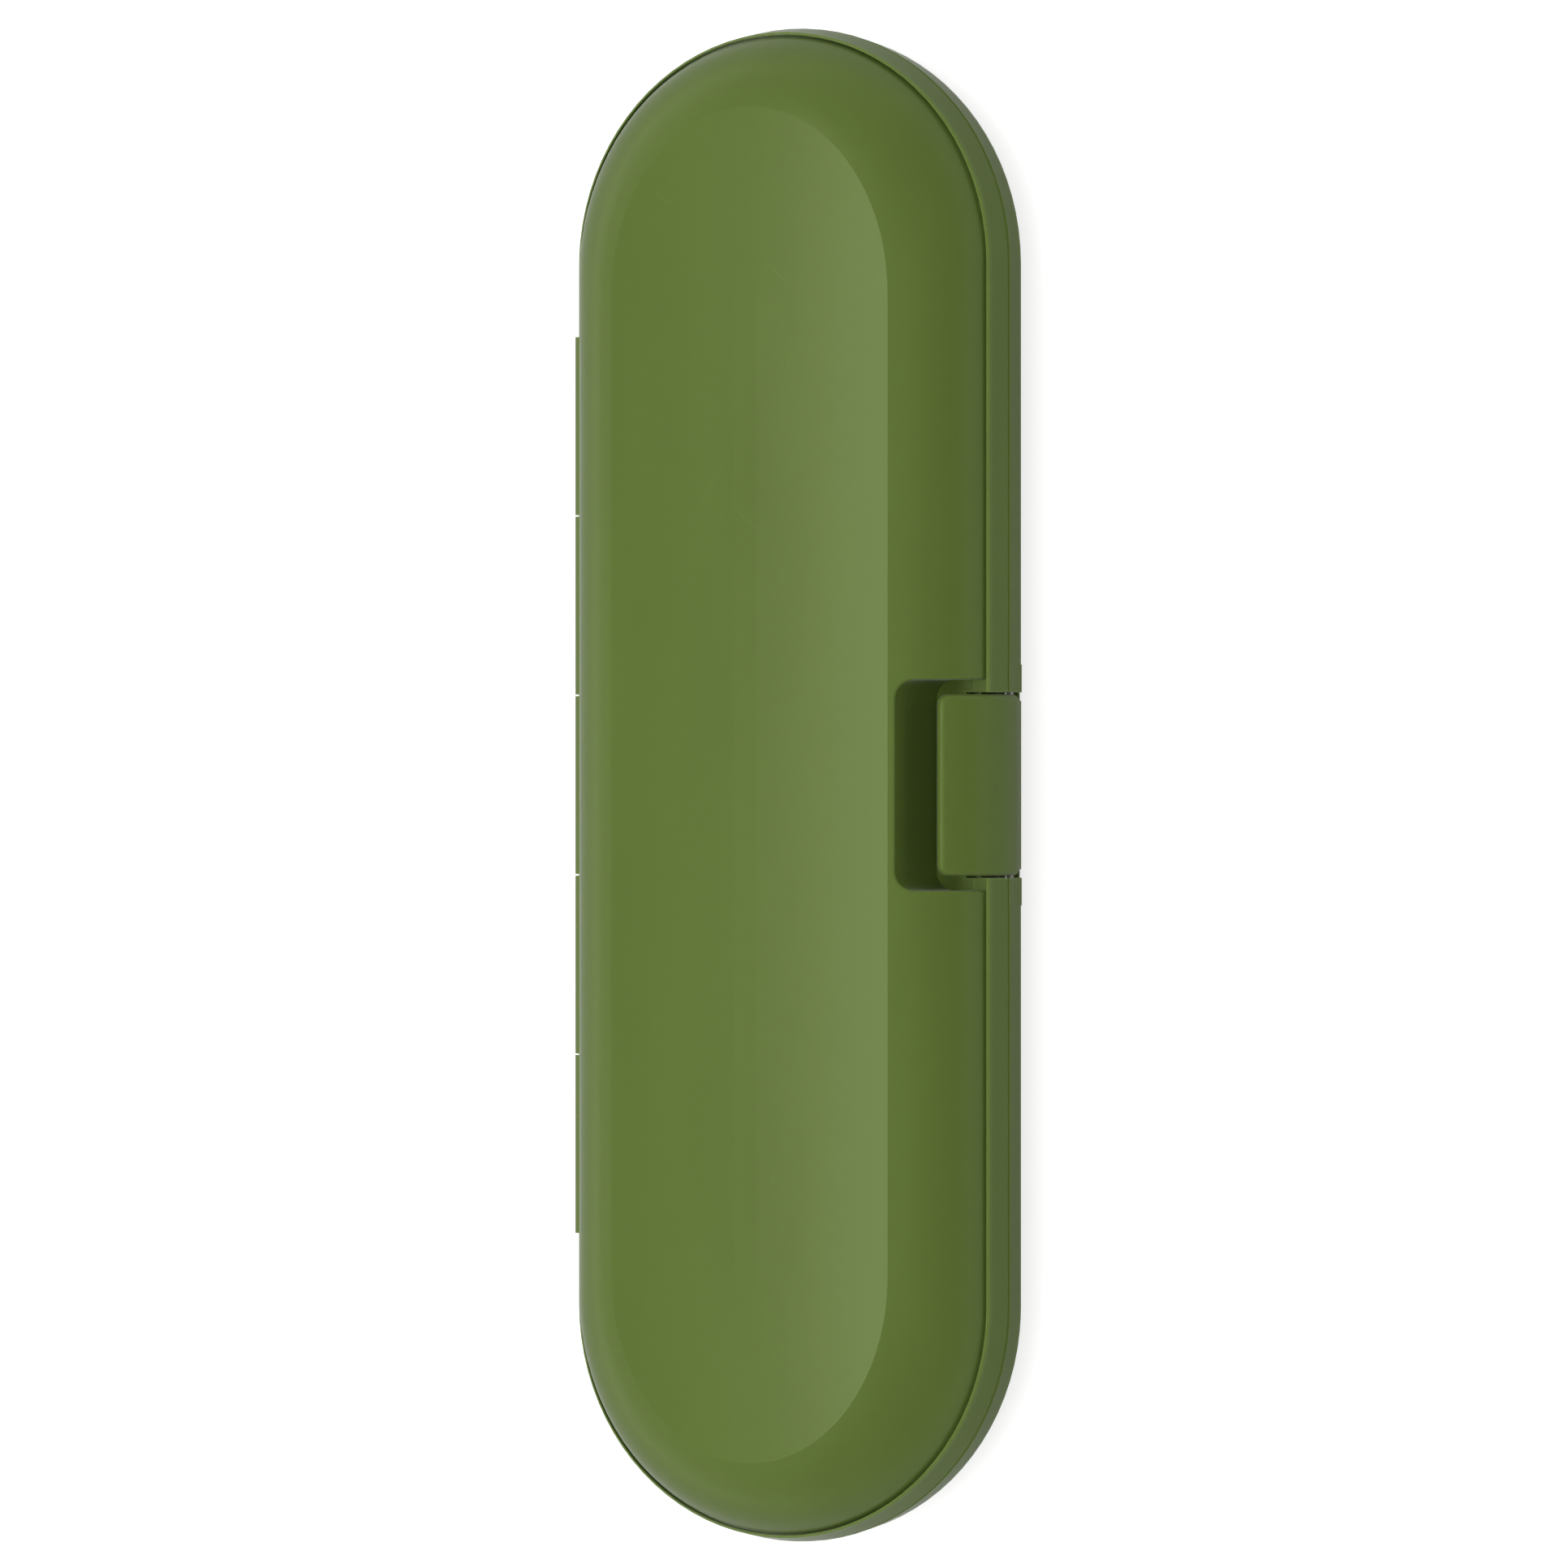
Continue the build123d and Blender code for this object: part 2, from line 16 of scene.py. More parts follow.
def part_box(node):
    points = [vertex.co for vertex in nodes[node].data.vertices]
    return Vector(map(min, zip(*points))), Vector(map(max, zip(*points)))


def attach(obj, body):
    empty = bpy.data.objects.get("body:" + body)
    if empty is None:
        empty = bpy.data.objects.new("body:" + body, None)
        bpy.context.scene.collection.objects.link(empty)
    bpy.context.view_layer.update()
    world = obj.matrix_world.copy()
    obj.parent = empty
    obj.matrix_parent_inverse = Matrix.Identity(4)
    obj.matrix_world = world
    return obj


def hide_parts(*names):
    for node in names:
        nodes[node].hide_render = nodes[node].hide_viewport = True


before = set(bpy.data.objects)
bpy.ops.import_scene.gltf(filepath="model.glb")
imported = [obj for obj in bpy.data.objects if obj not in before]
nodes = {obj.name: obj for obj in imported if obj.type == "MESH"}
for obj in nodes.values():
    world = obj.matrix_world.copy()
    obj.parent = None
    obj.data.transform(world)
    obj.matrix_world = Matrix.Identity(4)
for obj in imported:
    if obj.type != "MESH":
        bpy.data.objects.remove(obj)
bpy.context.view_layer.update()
MM = 0.001
print("parts in the frame:", sorted(nodes))

# %% [markdown]
# ## Helpers for materials
# A material is a small network of nodes. Adding a node, setting its plain values and joining it up
# are the same few lines every time, so two short helpers do them.
# A texture could be spread with a UV map, but the parts of the case are solids at a true scale, so
# Object coordinates are simpler: a grain of a quarter of a millimetre is the same on every part.

# %% Node helpers
def add_node(tree, kind, values=None, **settings):
    node = tree.nodes.new(kind)
    for key, value in settings.items():
        setattr(node, key, value)
    for key, value in (values or {}).items():
        node.inputs[key].default_value = value
    return node


def join(tree, *pairs):
    for output, socket in pairs:
        tree.links.new(output, socket)


print("helpers:", add_node.__name__, join.__name__)

# %% [markdown]
# ## Moulded grain
# The cavity of a mould is spark-eroded or blasted, and the plastic copies it as a very fine
# pebbling. It could be modelled, but the pebbles are a fifth of a millimetre wide and only soften
# the highlight. So it is a height for a Bump node, and a little unevenness in the roughness.
# All of the case's plastics have it, each with its own size, so it is a node group with named
# sockets.

# %% The group for moulded grain
MELT_STRETCH = (60.0, 14.0, 60.0)  # clouds per metre; fewer along the case draws them out


def make_moulded_grain():
    group = bpy.data.node_groups.new("moulded_grain", "ShaderNodeTree")
    put_in = dict(in_out="INPUT", socket_type="NodeSocketFloat")
    put_out = dict(in_out="OUTPUT", socket_type="NodeSocketFloat")
    group.interface.new_socket("Pebbles per metre", **put_in)
    group.interface.new_socket("Flow", **put_in)
    group.interface.new_socket("Height", **put_out)
    group.interface.new_socket("Cloud", **put_out)
    ends = add_node(group, "NodeGroupInput"), add_node(group, "NodeGroupOutput")
    place = add_node(group, "ShaderNodeTexCoord")
    pebbles = add_node(group, "ShaderNodeTexNoise", {"Detail": 2.0, "Roughness": 0.55})
    # The flow of the melt leaves long, faint clouds along the case.
    stretch = add_node(group, "ShaderNodeMapping", {"Scale": MELT_STRETCH})
    clouds = add_node(group, "ShaderNodeTexNoise", {"Scale": 1.0, "Detail": 3.0, "Roughness": 0.5})
    middle = add_node(group, "ShaderNodeMath", {1: 0.5}, operation="SUBTRACT")
    strength = add_node(group, "ShaderNodeMath", operation="MULTIPLY")
    join(
        group,
        (place.outputs["Object"], pebbles.inputs["Vector"]),
        (ends[0].outputs["Pebbles per metre"], pebbles.inputs["Scale"]),
        (pebbles.outputs["Fac"], ends[1].inputs["Height"]),
        (place.outputs["Object"], stretch.inputs["Vector"]),
        (stretch.outputs["Vector"], clouds.inputs["Vector"]),
        (clouds.outputs["Fac"], middle.inputs[0]),
        (middle.outputs[0], strength.inputs[0]),
        (ends[0].outputs["Flow"], strength.inputs[1]),
        (strength.outputs[0], ends[1].inputs["Cloud"]),
    )
    return group


moulded_grain = make_moulded_grain()
print("moulded grain:", [socket.name for socket in moulded_grain.interface.items_tree])

# %% [markdown]
# ## Handling marks
# A case that lives in a wash bag picks up hairline scuffs, mostly along its length, and its gloss
# is a little rubbed there. Painting them would need a picture, so a noise that is stretched into
# hairs and cut off at a threshold makes them. A second, slow noise keeps them in patches.

# %% The group for handling marks
# Two families of hairs: the turn of each in radians, and its noise cells per metre.
HAIR_FAMILIES = ((0.5, (2600.0, 55.0, 2600.0)), (-0.9, (2200.0, 70.0, 2200.0)))


def make_handling_marks():
    group = bpy.data.node_groups.new("handling_marks", "ShaderNodeTree")
    group.interface.new_socket("Amount", in_out="INPUT", socket_type="NodeSocketFloat")
    group.interface.new_socket("Marks", in_out="OUTPUT", socket_type="NodeSocketFloat")
    ends = add_node(group, "NodeGroupInput"), add_node(group, "NodeGroupOutput")
    place = add_node(group, "ShaderNodeTexCoord")
    hairs = []
    for angle, spread in HAIR_FAMILIES:
        turn = add_node(group, "ShaderNodeMapping", {"Rotation": (0.0, 0.0, angle)})
        stretch = add_node(group, "ShaderNodeMapping", {"Scale": spread})
        noise = add_node(group, "ShaderNodeTexNoise", {"Scale": 1.0, "Detail": 1.0})
        cut = add_node(group, "ShaderNodeMapRange", {"From Min": 0.74, "From Max": 0.82})
        join(
            group,
            (place.outputs["Object"], turn.inputs["Vector"]),
            (turn.outputs["Vector"], stretch.inputs["Vector"]),
            (stretch.outputs["Vector"], noise.inputs["Vector"]),
            (noise.outputs["Fac"], cut.inputs["Value"]),
        )
        hairs.append(cut)
    both = add_node(group, "ShaderNodeMath", operation="MAXIMUM")
    patches = add_node(group, "ShaderNodeTexNoise", {"Scale": 45.0, "Detail": 2.0})
    where = add_node(group, "ShaderNodeMapRange", {"From Min": 0.48, "From Max": 0.68})
    inside = add_node(group, "ShaderNodeMath", operation="MULTIPLY")
    amount = add_node(group, "ShaderNodeMath", operation="MULTIPLY", use_clamp=True)
    join(
        group,
        (hairs[0].outputs["Result"], both.inputs[0]),
        (hairs[1].outputs["Result"], both.inputs[1]),
        (place.outputs["Object"], patches.inputs["Vector"]),
        (patches.outputs["Fac"], where.inputs["Value"]),
        (both.outputs[0], inside.inputs[0]),
        (where.outputs["Result"], inside.inputs[1]),
        (inside.outputs[0], amount.inputs[0]),
        (ends[0].outputs["Amount"], amount.inputs[1]),
        (amount.outputs[0], ends[1].inputs["Marks"]),
    )
    return group


handling_marks = make_handling_marks()
print("handling marks:", [socket.name for socket in handling_marks.interface.items_tree])

# %% [markdown]
# ## Painted edge highlight
# Every true outer edge of the case is painted a touch paler, as a fine light line that stands
# for the highlight a rounded edge catches. The solids' meshes are loose triangles, on which
# vertex pointiness fails. Ambient Occlusion with Inside switched on works on any closed shape:
# rays sent inwards meet a wall only near an outer edge.

# %% The group for the painted edge highlight
def make_painted_edge_highlight():
    group = bpy.data.node_groups.new("painted_edge_highlight", "ShaderNodeTree")
    group.interface.new_socket("Reach", in_out="INPUT", socket_type="NodeSocketFloat")
    group.interface.new_socket("Amount", in_out="INPUT", socket_type="NodeSocketFloat")
    group.interface.new_socket("Edge", in_out="OUTPUT", socket_type="NodeSocketFloat")
    ends = add_node(group, "NodeGroupInput"), add_node(group, "NodeGroupOutput")
    # Rays sent inwards find the outer edges, which get a paler colour painted on as a highlight.
    inward = add_node(group, "ShaderNodeAmbientOcclusion", samples=8, inside=True, only_local=True)
    near = add_node(group, "ShaderNodeMapRange", {"From Min": 0.92, "From Max": 0.45})
    place = add_node(group, "ShaderNodeTexCoord")
    patchy = add_node(group, "ShaderNodeTexNoise", {"Scale": 160.0, "Detail": 2.0})
    uneven = add_node(group, "ShaderNodeMapRange", {"From Min": 0.3, "From Max": 0.7, "To Min": 0.75})
    highlight_and_scuffs = add_node(group, "ShaderNodeMath", operation="MULTIPLY")
    amount = add_node(group, "ShaderNodeMath", operation="MULTIPLY", use_clamp=True)
    join(
        group,
        (ends[0].outputs["Reach"], inward.inputs["Distance"]),
        (inward.outputs["AO"], near.inputs["Value"]),
        (place.outputs["Object"], patchy.inputs["Vector"]),
        (patchy.outputs["Fac"], uneven.inputs["Value"]),
        (near.outputs["Result"], highlight_and_scuffs.inputs[0]),
        (uneven.outputs["Result"], highlight_and_scuffs.inputs[1]),
        (highlight_and_scuffs.outputs[0], amount.inputs[0]),
        (ends[0].outputs["Amount"], amount.inputs[1]),
        (amount.outputs[0], ends[1].inputs["Edge"]),
    )
    return group


painted_edge_highlight = make_painted_edge_highlight()
print("painted light on edges:", [socket.name for socket in painted_edge_highlight.interface.items_tree])

# %% [markdown]
# ## The plastics
# Both shells, the rims, the trays and the clip are the same olive polypropylene, coloured right
# through, so one function makes them all. The outside is satin from a polished mould, the inside
# is matter from a blasted one. The colour is written once, and the clouds of the melt, a painted
# highlight on the edges and the scuffs only move it a little, which keeps it one plastic under any light.
# Plain gloss would grey the olive, so it is tinted a little green. A faint sheen pales the sides
# where they turn away, and a little scattering softens the shading as light enters the plastic.

# %% Numbers of the olive plastic
OLIVE = (0.114, 0.169, 0.033)
GREEN_GLOSS = (0.85, 1.0, 0.6)
PLASTIC_IOR = 1.49
SHEEN_ROUGHNESS = 0.2
SCATTER = 0.3  # share of the light that enters the plastic
SCATTER_COLOURS = (0.8, 1.0, 0.4)
SCATTER_REACH = 0.7 * MM
MELT_FLOW = 0.16  # how much the clouds move the colour
# How far in from an outer edge, and how much paler, the edge is painted as a highlight; the scuff gain is
# for real scuffs.
EDGE_HIGHLIGHT_REACH = 0.5 * MM
EDGE_HIGHLIGHT_GAIN, SCUFF_GAIN, CHALK = 1.5, 1.25, 0.02
CLOUD_ROUGHNESS, SCUFF_ROUGHNESS = 0.5, 0.18


def paler(colour, gain):
    return (*(gain * part + CHALK for part in colour), 1)


print("scuffed olive:", [round(part, 3) for part in paler(OLIVE, SCUFF_GAIN)])

# %% [markdown]
# ## One function for every plastic
# The shader takes its gloss, sheen and scattering as plain numbers. The groups feed only what
# changes over the surface: the colour, the roughness and the bump. A scuff lies over the painted
# highlight on the edges, so the highlight is mixed in first.

# %% Plastics of the case
def make_plastic(
    name, roughness, pebble, relief, scuffs,
    colour=OLIVE, gloss_tint=GREEN_GLOSS, sheen=0.3, edge_highlight_amount=0.5,
):
    material = bpy.data.materials.new(name)
    material.use_nodes = True
    tree = material.node_tree
    shader = tree.nodes["Principled BSDF"]
    shader.inputs["IOR"].default_value = PLASTIC_IOR
    shader.inputs["Specular Tint"].default_value = (*gloss_tint, 1)
    shader.inputs["Sheen Weight"].default_value = sheen
    shader.inputs["Sheen Roughness"].default_value = SHEEN_ROUGHNESS
    shader.inputs["Subsurface Weight"].default_value = SCATTER
    shader.inputs["Subsurface Radius"].default_value = SCATTER_COLOURS
    shader.inputs["Subsurface Scale"].default_value = SCATTER_REACH
    grain = add_node(tree, "ShaderNodeGroup", node_tree=moulded_grain)
    grain.inputs["Pebbles per metre"].default_value = 1 / pebble
    grain.inputs["Flow"].default_value = MELT_FLOW
    marks = add_node(tree, "ShaderNodeGroup", node_tree=handling_marks)
    marks.inputs["Amount"].default_value = scuffs
    # Outer edges get a paler colour painted on, standing for the highlight a rounded edge catches.
    edges = add_node(tree, "ShaderNodeGroup", node_tree=painted_edge_highlight)
    edges.inputs["Reach"].default_value = EDGE_HIGHLIGHT_REACH
    edges.inputs["Amount"].default_value = edge_highlight_amount
    # Clouds make the colour a few hundredths lighter or darker; scuffs are paler, and edges are painted
    # paler as a highlight.
    shade = add_node(tree, "ShaderNodeMath", {1: 1.0}, operation="ADD")
    tint = add_node(tree, "ShaderNodeVectorMath", {0: colour}, operation="SCALE")
    edge_highlighted = add_node(tree, "ShaderNodeMix", {"B": paler(colour, EDGE_HIGHLIGHT_GAIN)}, data_type="RGBA")
    highlight_and_scuffs = add_node(tree, "ShaderNodeMix", {"B": paler(colour, SCUFF_GAIN)}, data_type="RGBA")
    gloss = add_node(tree, "ShaderNodeMath", {1: CLOUD_ROUGHNESS, 2: roughness}, operation="MULTIPLY_ADD")
    worn = add_node(tree, "ShaderNodeMath", {1: SCUFF_ROUGHNESS}, operation="MULTIPLY_ADD")
    bump = add_node(tree, "ShaderNodeBump", {"Strength": 1.0, "Distance": relief})
    join(
        tree,
        (grain.outputs["Cloud"], shade.inputs[0]),
        (shade.outputs[0], tint.inputs["Scale"]),
        (tint.outputs["Vector"], edge_highlighted.inputs["A"]),
        (edges.outputs["Edge"], edge_highlighted.inputs["Factor"]),
        (edge_highlighted.outputs["Result"], highlight_and_scuffs.inputs["A"]),
        (marks.outputs["Marks"], highlight_and_scuffs.inputs["Factor"]),
        (highlight_and_scuffs.outputs["Result"], shader.inputs["Base Color"]),
        (grain.outputs["Cloud"], gloss.inputs[0]),
        (marks.outputs["Marks"], worn.inputs[0]),
        (gloss.outputs[0], worn.inputs[2]),
        (worn.outputs[0], shader.inputs["Roughness"]),
        (grain.outputs["Height"], bump.inputs["Height"]),
        (bump.outputs["Normal"], shader.inputs["Normal"]),
    )
    return material


finishes = {
    "satin_shell": make_plastic("satin_olive_shell", 0.29, 0.22 * MM, 0.004 * MM, 0.5),
    "satin_clip": make_plastic("satin_olive_clip", 0.29, 0.20 * MM, 0.003 * MM, 0.7),
    "matt_tray": make_plastic("matt_olive_tray", 0.55, 0.30 * MM, 0.010 * MM, 0.25),
}
print("plastics:", {key: finish.name for key, finish in finishes.items()})

# %% [markdown]
# ## Soft grey rubber
# The saddles that hold the toothbrush handle are moulded in a soft rubber. It is matt, a little
# velvety at grazing angles, and shows a fine pebbling. A sheen lobe gives the velvet, which a
# high roughness alone can't.

# %% Soft rubber for the saddles
finishes["soft_rubber"] = make_plastic(
    "soft_grey_rubber", 0.72, 0.35 * MM, 0.012 * MM, 0.0,
    colour=(0.080, 0.090, 0.070), gloss_tint=(1.0, 1.0, 1.0), sheen=0.25,
)
print("soft rubber:", finishes["soft_rubber"].name)

# %% [markdown]
# ## Drawn steel wire
# The two hinge pins are cut from drawn stainless wire, which keeps fine lines along its length.
# An anisotropic shader could blur the highlight, but a noise stretched along the pin shows the
# lines themselves as well, so it drives the roughness and a small bump.

# %% Steel for the pins
DRAWN_LINES = (9000.0, 120.0, 9000.0)  # lines per metre; far fewer along the pin
LINE_DEPTH = 0.002 * MM


def make_drawn_steel():
    material = bpy.data.materials.new("drawn_steel_wire")
    material.use_nodes = True
    tree = material.node_tree
    shader = tree.nodes["Principled BSDF"]
    shader.inputs["Base Color"].default_value = (0.60, 0.59, 0.57, 1)
    shader.inputs["Metallic"].default_value = 1.0
    place = add_node(tree, "ShaderNodeTexCoord")
    stretch = add_node(tree, "ShaderNodeMapping", {"Scale": DRAWN_LINES})
    lines = add_node(tree, "ShaderNodeTexNoise", {"Scale": 1.0, "Detail": 2.0})
    gloss = add_node(tree, "ShaderNodeMapRange", {"To Min": 0.22, "To Max": 0.42})
    bump = add_node(tree, "ShaderNodeBump", {"Strength": 1.0, "Distance": LINE_DEPTH})
    join(
        tree,
        (place.outputs["Object"], stretch.inputs["Vector"]),
        (stretch.outputs["Vector"], lines.inputs["Vector"]),
        (lines.outputs["Fac"], gloss.inputs["Value"]),
        (gloss.outputs["Result"], shader.inputs["Roughness"]),
        (lines.outputs["Fac"], bump.inputs["Height"]),
        (bump.outputs["Normal"], shader.inputs["Normal"]),
    )
    return material


finishes["drawn_steel"] = make_drawn_steel()
print("steel:", finishes["drawn_steel"].name)

# %% [markdown]
# ## From bmesh to object
# Everything modelled below starts as a bmesh, the editable kind of mesh. One helper turns it into
# an object. Broad faces are shaded smooth and only true corners stay sharp, so that a small bevel
# catches the light as a line, as it does on a moulding.

# %% Finish a bmesh
WELD = 0.001 * MM


def make_object(name, bm, sharp_angle=35):
    bmesh.ops.remove_doubles(bm, verts=bm.verts, dist=WELD)
    bmesh.ops.recalc_face_normals(bm, faces=bm.faces)
    for face in bm.faces:
        face.smooth = True
    open_edges = sum(1 for edge in bm.edges if not edge.is_manifold)
    mesh = bpy.data.meshes.new(name)
    bm.to_mesh(mesh)
    bm.free()
    mesh.set_sharp_from_angle(angle=radians(sharp_angle))
    made = bpy.data.objects.new(name, mesh)
    bpy.context.scene.collection.objects.link(made)
    print(f"{name}: {len(mesh.polygons)} faces, {open_edges} open edges")
    return made


# %% [markdown]
# ## The saddles
# Four soft pads, two in each half, line the round well and grip the toothbrush handle. Each is a
# strip of rubber bent round the well, with low ribs across it that give when the case is shut.
# A flat strip could be bent with a modifier, but the well is a true arc, so the pad's section is
# drawn once and spun about the well's axis. The well's size is measured from the solids first.

# %% Measure the wells from the solids
PAD_WALL = 1.4 * MM
PAD_LENGTH = 16.0 * MM


def measure_well(node, opens_up):
    low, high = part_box(node)
    half_chord, depth = (high[0] - low[0]) / 2, high[2] - low[2]
    radius = (half_chord**2 + depth**2) / (2 * depth)
    axis_z = low[2] + radius if opens_up else high[2] - radius
    axis_point = Vector(((low[0] + high[0]) / 2, 0, axis_z))
    pad_y = high[1] - PAD_LENGTH / 2
    return axis_point, radius, radius - depth, pad_y


for node, opens_up in (("base_saddles", True), ("lid_saddles", False)):
    axis_point, radius, rise, pad_y = measure_well(node, opens_up)
    axis_mm = [round(v / MM, 2) for v in axis_point]
    print(f"{node}: axis {axis_mm}, radius {radius / MM:.2f} mm, pads at +-{pad_y / MM:.1f}")


# %% [markdown]
# ## Spinning a pad
# The section is a flat rectangle at one lip of the well. Its inner edge is divided first, so that
# the spin leaves narrow strips for the ribs. The arc stops at both lips, so the turn is not full.
# Because a whole face is spun, and not only its outline, a face closes each end of the arc.

# %% Spin one pad
RIB_STRIPS = 9
PAD_STEPS = 44


def spin_pad(bm, axis_point, radius, rise, pad_y, opens_up):
    inner = radius - PAD_WALL
    half_turn = acos(rise / inner)
    down = Vector((0, 0, -1 if opens_up else 1))
    start = Matrix.Rotation(-half_turn, 3, "Y") @ down
    corners = []
    for distance, end in ((inner, -1), (radius, -1), (radius, 1), (inner, 1)):
        along = Vector((0, pad_y + end * PAD_LENGTH / 2, 0))
        corners.append(bm.verts.new(axis_point + start * distance + along))
    section = bm.faces.new(corners)
    inner_edge = bm.edges.get((corners[0], corners[3]))
    bmesh.ops.subdivide_edges(bm, edges=[inner_edge], cuts=RIB_STRIPS - 1)
    geometry = [section, *section.edges, *section.verts]
    bmesh.ops.spin(
        bm, geom=geometry, cent=axis_point, axis=(0, 1, 0), angle=2 * half_turn, steps=PAD_STEPS
    )


print(f"a pad: {PAD_STEPS} steps round the arc, {RIB_STRIPS} strips across it")

# %% [markdown]
# ## Ribs
# The ribs could be bumps in a material, but they show in outline when the case is open. Every
# second strip is raised with an inset, which also slopes its sides as a mould needs.

# %% Raise the ribs
RIB_HEIGHT = 0.35 * MM
RIB_SLOPE = 0.3 * MM
ON_SURFACE = 0.05 * MM  # a face this near the inner arc belongs to it


def raise_ribs(bm, axis_point, inner, pad_y):
    ribs = []
    for face in bm.faces:
        middle = face.calc_center_median()
        out = hypot(middle.x - axis_point.x, middle.z - axis_point.z)
        strip = (middle.y - pad_y) / PAD_LENGTH * RIB_STRIPS + RIB_STRIPS / 2
        on_inner_arc = abs(out - inner) < ON_SURFACE
        if on_inner_arc and abs(middle.y - pad_y) < PAD_LENGTH / 2 and int(strip) % 2:
            ribs.append(face)
    bmesh.ops.inset_region(
        bm, faces=ribs, thickness=RIB_SLOPE, depth=RIB_HEIGHT, use_even_offset=True
    )
    return len(ribs)


print(f"ribs: {RIB_HEIGHT / MM:.2f} mm high")

# %% [markdown]
# ## The pads as objects
# Each half gets one object with its two pads. A small bevel softens what the ribs and the ends
# leave sharp. Each object rides on its half, and stands for the plain solid there.

# %% Make the pads
PAD_CORNER = radians(25)  # sharper edges than this are bevelled
PAD_BEVEL = 0.12 * MM


def make_saddle_pads(name, node, opens_up):
    axis_point, radius, rise, pad_y = measure_well(node, opens_up)
    bm = bmesh.new()
    for side in (-1, 1):
        spin_pad(bm, axis_point, radius, rise, side * pad_y, opens_up)
    bmesh.ops.remove_doubles(bm, verts=bm.verts, dist=WELD)
    bmesh.ops.recalc_face_normals(bm, faces=bm.faces)
    for side in (-1, 1):
        raise_ribs(bm, axis_point, radius - PAD_WALL, side * pad_y)
    corners = [edge for edge in bm.edges if edge.calc_face_angle(0) > PAD_CORNER]
    bmesh.ops.bevel(
        bm, geom=corners, offset=PAD_BEVEL, segments=2, profile=0.5, affect="EDGES",
        material=-1, clamp_overlap=True,
    )
    return make_object(name, bm)


base_pads = make_saddle_pads("base_saddle_pads", "base_saddles", True)
lid_pads = make_saddle_pads("lid_saddle_pads", "lid_saddles", False)
for pads, node, body in ((base_pads, "base_saddles", "base"), (lid_pads, "lid_saddles", "lid")):
    pads.data.materials.append(finishes["soft_rubber"])
    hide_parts(node)
    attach(pads, body)

# %% [markdown]
# ## Dressing the solids
# The shells, rims, trays, clip and pins already have the right shape, down to the gaps between
# them, so they keep their solids and only change their finish. A finish is given by assigning to
# the object's material slots; the mesh itself is left alone.

# %% Finishes for the solids
finish_of = {
    "shell": "satin_shell",
    "rim": "satin_shell",
    "tray": "matt_tray",
    "clip": "satin_clip",
    "pin": "drawn_steel",
    "saddles": "soft_rubber",
}
for name, node in nodes.items():
    finish = next(finishes[key] for word, key in finish_of.items() if word in name)
    node.data.materials.clear()
    node.data.materials.append(finish)
    print(f"{name:14s} {finish.name}")

# %% [markdown]
# ## The camera
# A small thing is best seen from far away with a long lens, so its sides stay parallel. The
# camera stands over the case and is turned 28 degrees towards the clip, which shows the closed
# front edge. The lens is worked out from the distance and from the width that the picture covers.

# %% Set up the camera
TURN = radians(28)
LENS_DISTANCE = 4.0
PX_PER_MM = 8.63
FRAME_PX = 1932
AXIS_PX = (984.9, 967.3)
PARTING_Z = 16.1 * MM
SENSOR_MM = 36
frame_width = FRAME_PX / PX_PER_MM * MM
toward_camera = Vector((sin(TURN), 0, cos(TURN)))
picture_right = Vector((cos(TURN), 0, -sin(TURN)))
picture_up = Vector((0, 1, 0))
off_right, off_down = ((px - FRAME_PX / 2) / PX_PER_MM * MM for px in AXIS_PX)
aim = Vector((0, 0, PARTING_Z)) - picture_right * off_right + picture_up * off_down
camera_data = bpy.data.cameras.new("camera")
camera_data.sensor_width = SENSOR_MM
camera_data.lens = camera_data.sensor_width * LENS_DISTANCE / frame_width
camera_data.clip_end = 20
camera = bpy.data.objects.new("camera", camera_data)
bpy.context.scene.collection.objects.link(camera)
camera.location = aim + toward_camera * LENS_DISTANCE
camera.rotation_euler = (0, TURN, 0)
bpy.context.scene.camera = camera
print(f"lens {camera_data.lens:.0f} mm, picture {frame_width / MM:.0f} mm wide")

# %% [markdown]
# ## The floor
# The case lies on a plain white sweep. Its diffuse white keeps the case's own shadow and bounces
# light onto its sides. What the camera sees of it is lifted to a clean white by a little emission
# that only camera rays meet, so the backdrop is bright without any more light on the case. The
# floor lies a tenth of a millimetre low, because two faces in one plane would flicker.

# %% Lay the floor
FLOOR_HALF_WIDTH = 6.0
FLOOR_DROP = 0.1 * MM


def make_sweep_white(paper=0.62, mirrored_paper=0.42, lift=0.70):
    material = bpy.data.materials.new("sweep_white")
    material.use_nodes = True
    tree = material.node_tree
    shader = tree.nodes["Principled BSDF"]
    shader.inputs["Roughness"].default_value = 0.9
    shader.inputs["Specular IOR Level"].default_value = 0.0
    shader.inputs["Emission Color"].default_value = (1, 1, 1, 1)
    ray = add_node(tree, "ShaderNodeLightPath")
    tone = add_node(tree, "ShaderNodeMix", data_type="RGBA")
    tone.inputs["A"].default_value = (paper, paper, paper, 1)
    tone.inputs["B"].default_value = (mirrored_paper, mirrored_paper, mirrored_paper, 1)
    glow = add_node(tree, "ShaderNodeMath", {1: lift}, operation="MULTIPLY")
    join(
        tree,
        (ray.outputs["Is Glossy Ray"], tone.inputs["Factor"]),
        (tone.outputs["Result"], shader.inputs["Base Color"]),
        (ray.outputs["Is Camera Ray"], glow.inputs[0]),
        (glow.outputs[0], shader.inputs["Emission Strength"]),
    )
    return material


bm = bmesh.new()
bmesh.ops.create_grid(bm, x_segments=1, y_segments=1, size=FLOOR_HALF_WIDTH)
bmesh.ops.translate(bm, verts=bm.verts, vec=(0, 0, -FLOOR_DROP))
floor = make_object("floor", bm)
floor.data.materials.append(make_sweep_white())
print("floor:", floor.data.materials[0].name)

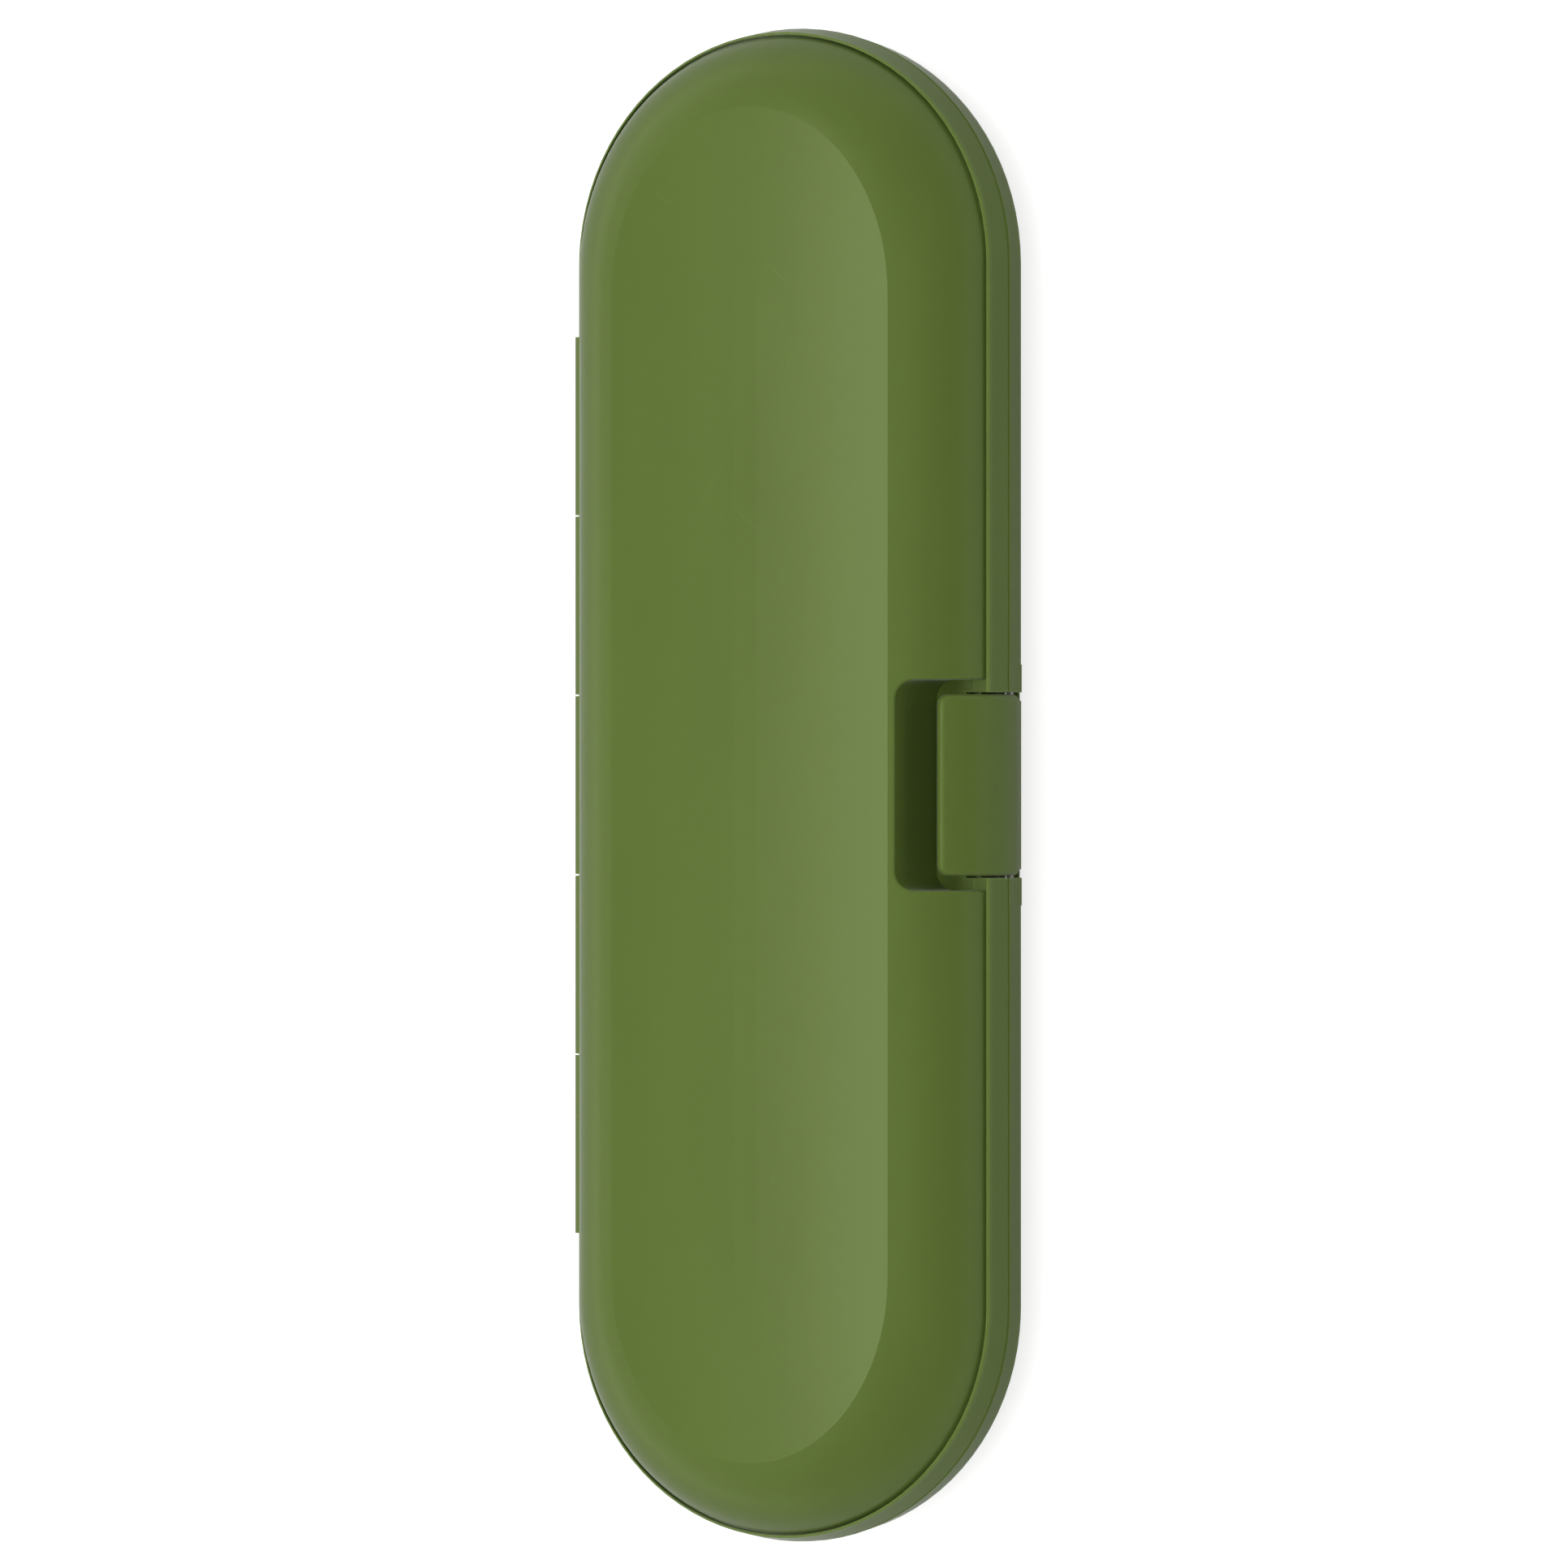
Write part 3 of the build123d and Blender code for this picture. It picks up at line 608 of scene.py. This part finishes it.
# %% [markdown]
# ## The sky
# Satin plastic shows its light twice: as shading, and as a soft reflection. A bright tent all
# round would shade it gently, but its reflection would lie on the top like milk and grey the
# olive. So the sky is one light for shading, brighter on the hinge side, and another for
# reflections, which is dim overhead and pale low down on the hinge side. Is Glossy Ray tells the
# two apart, and Is Camera Ray shows plain white behind the case.

# %% Make the sky
def make_sky(shade=(0.99, 0.07), gloss_overhead=0.05, gloss_horizon=1.1):
    world = bpy.context.scene.world or bpy.data.worlds.new("sky")
    bpy.context.scene.world = world
    world.use_nodes = True
    tree = world.node_tree
    sky = tree.nodes["Background"]
    sky.inputs["Color"].default_value = (1, 1, 1, 1)
    place = add_node(tree, "ShaderNodeTexCoord")
    split = add_node(tree, "ShaderNodeSeparateXYZ")
    ray = add_node(tree, "ShaderNodeLightPath")
    side_range = {"From Min": -1.0, "From Max": 1.0}
    shading_range = {**side_range, "To Min": shade[0], "To Max": shade[1]}
    shading = add_node(tree, "ShaderNodeMapRange", shading_range)
    low = add_node(tree, "ShaderNodeMath", {0: 1.0}, operation="SUBTRACT", use_clamp=True)
    lower = add_node(tree, "ShaderNodeMath", {1: 2.0}, operation="POWER")
    gloss_range = {**side_range, "To Min": gloss_horizon, "To Max": 0.0}
    side = add_node(tree, "ShaderNodeMapRange", gloss_range)
    pale = add_node(tree, "ShaderNodeMath", operation="MULTIPLY")
    reflected = add_node(tree, "ShaderNodeMath", {1: gloss_overhead}, operation="ADD")
    by_gloss = add_node(tree, "ShaderNodeMix", data_type="FLOAT")
    by_camera = add_node(tree, "ShaderNodeMix", {"B": 1.0}, data_type="FLOAT")
    join(
        tree,
        (place.outputs["Generated"], split.inputs["Vector"]),
        (split.outputs["X"], shading.inputs["Value"]),
        (split.outputs["Z"], low.inputs[1]),
        (low.outputs[0], lower.inputs[0]),
        (split.outputs["X"], side.inputs["Value"]),
        (lower.outputs[0], pale.inputs[0]),
        (side.outputs["Result"], pale.inputs[1]),
        (pale.outputs[0], reflected.inputs[0]),
        (ray.outputs["Is Glossy Ray"], by_gloss.inputs["Factor"]),
        (shading.outputs["Result"], by_gloss.inputs["A"]),
        (reflected.outputs[0], by_gloss.inputs["B"]),
        (ray.outputs["Is Camera Ray"], by_camera.inputs["Factor"]),
        (by_gloss.outputs["Result"], by_camera.inputs["A"]),
        (by_camera.outputs["Result"], sky.inputs["Strength"]),
    )
    return world


print("sky:", make_sky().name)

# %% [markdown]
# ## The lamps
# A strip box hangs over the hinge side, leaning 15 degrees. The crowned top tilts just enough for
# the box to show as one broad soft streak beside the crease. A wide panel near the camera's
# direction lights the clip's side and the gaps. It would show as a second streak, so it only
# gives shading.

# %% Hang the lamps
def hang_soft_box(name, lean, rise, distance, size, radiance):
    lamp_data = bpy.data.lights.new(name, "AREA")
    lamp_data.shape = "RECTANGLE"
    lamp_data.size, lamp_data.size_y = size
    lamp_data.energy = radiance * pi * size[0] * size[1]
    lamp = bpy.data.objects.new(name, lamp_data)
    bpy.context.scene.collection.objects.link(lamp)
    lean, rise = radians(lean), radians(rise)
    way = Vector((sin(lean) * cos(rise), sin(rise), cos(lean) * cos(rise)))
    lamp.location = way * distance
    lamp.rotation_euler = (-rise, lean, 0)
    print(f"{name}: {lamp_data.energy:.1f} W")
    return lamp


hang_soft_box("strip_box", lean=-15, rise=3, distance=1.6, size=(0.2, 1.6), radiance=5.4)
fill_panel = hang_soft_box(
    "fill_panel", lean=22, rise=0, distance=2.0, size=(1.0, 1.0), radiance=5.7
)
fill_panel.visible_glossy = False

# %% [markdown]
# ## Plain colours
# The usual view transform compresses bright colours the way film does, which would wash the olive
# out. Standard shows each colour about as it is written.

# %% Set the picture's colours to plain
bpy.context.scene.view_settings.view_transform = "Standard"
print("view transform:", bpy.context.scene.view_settings.view_transform)
